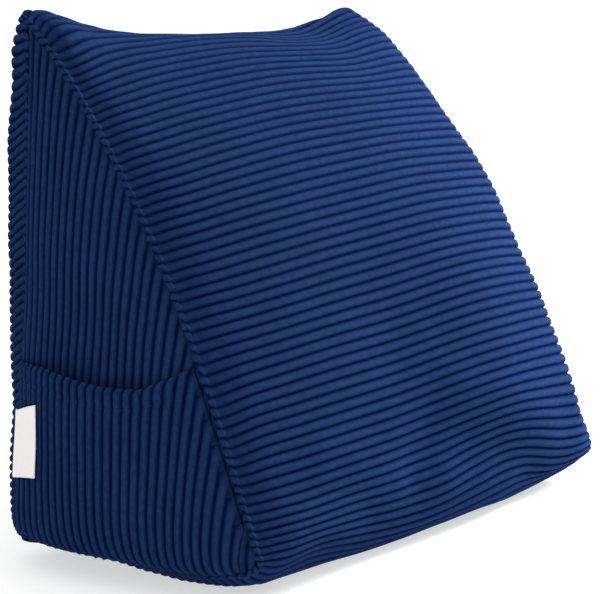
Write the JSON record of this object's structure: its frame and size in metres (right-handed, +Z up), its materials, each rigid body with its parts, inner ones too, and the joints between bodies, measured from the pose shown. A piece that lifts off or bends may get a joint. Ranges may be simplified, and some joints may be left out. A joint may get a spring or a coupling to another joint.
{
  "type": "wedge pillow",
  "caption": "Triangular wedge reading pillow in wide-wale corduroy, standing on its base, with a sloped front and a patch pocket on one side panel.",
  "frame": {"origin": "on the floor plane, near the centre of the base", "axes": "+X along the width, with the pocket's side panel at -X; the reading slope faces -Y and the back faces +Y; +Z up"},
  "size_m": [0.4905, 0.2197, 0.3535],
  "materials": {
    "navy_cord": "wide-wale corduroy, brushed pile",
    "navy_cord_pocket": "the same corduroy, ribs upright",
    "pale_tape": "woven satin tape, bare"
  },
  "bodies": {
    "root": {"cushion": "navy_cord", "side_pocket": "navy_cord_pocket", "seam_tab": "pale_tape"}
  },
  "joints": []
}
